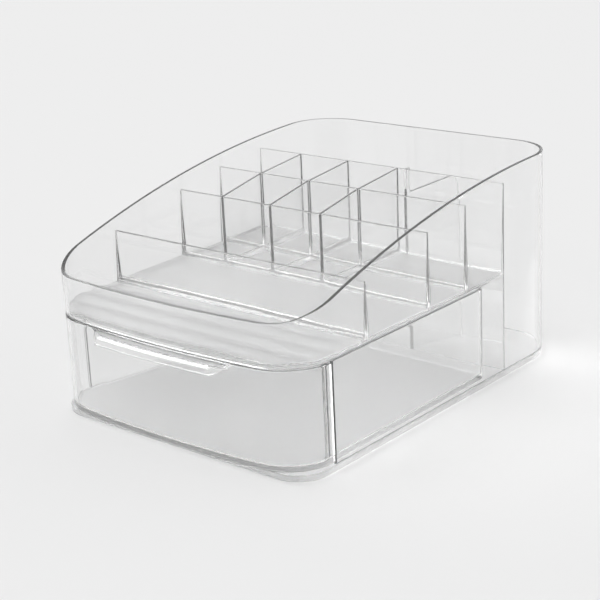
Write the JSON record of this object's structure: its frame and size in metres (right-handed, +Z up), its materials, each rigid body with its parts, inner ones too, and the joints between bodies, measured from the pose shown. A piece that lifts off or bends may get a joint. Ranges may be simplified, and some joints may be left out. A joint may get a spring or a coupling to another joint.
{
  "type": "desktop organizer",
  "caption": "Clear moulded desktop organizer: a stepped tray of open compartments with a fluted front, a deep rear compartment and a bow-fronted pull-out drawer below.",
  "frame": {"origin": "centre of the bounding box's bottom face, on the table under the base plate", "axes": "+Z up, -Y out of the drawer towards the user, +X to the right as seen from the front"},
  "size_m": [0.18, 0.2526, 0.1226],
  "materials": {
    "clear_shell": "clear polished polystyrene",
    "clear_tray": "clear polished polystyrene",
    "clear_base": "clear polished polystyrene",
    "clear_drawer": "clear polished polystyrene"
  },
  "bodies": {
    "housing": {"side_wall_left": "clear_shell", "side_wall_right": "clear_shell", "back_wall": "clear_shell", "back_corner_left": "clear_shell", "back_corner_right": "clear_shell", "front_lip": "clear_shell", "lip_corner_left": "clear_shell", "lip_corner_right": "clear_shell", "fluted_tray": "clear_tray", "shelf_plate": "clear_tray", "row_wall_front": "clear_tray", "row_wall_second": "clear_tray", "row_wall_third": "clear_tray", "row_wall_rear": "clear_tray", "divider_left_front": "clear_tray", "divider_left_rear": "clear_tray", "divider_middle_front": "clear_tray", "divider_middle_rear": "clear_tray", "divider_right_front": "clear_tray", "divider_right_rear": "clear_tray", "rear_divider": "clear_tray", "base_plate": "clear_base"},
    "drawer": {"drawer_floor": "clear_drawer", "drawer_front": "clear_drawer", "drawer_corner_left": "clear_drawer", "drawer_corner_right": "clear_drawer", "drawer_side_left": "clear_drawer", "drawer_side_right": "clear_drawer", "drawer_back": "clear_drawer", "pull_ledge": "clear_drawer", "pull_skirt": "clear_drawer"}
  },
  "joints": [
    {"name": "drawer_slide", "type": "slide", "parent": "housing", "child": "drawer", "axis": [0, -1, 0], "range_m": [0, 0.11]}
  ]
}
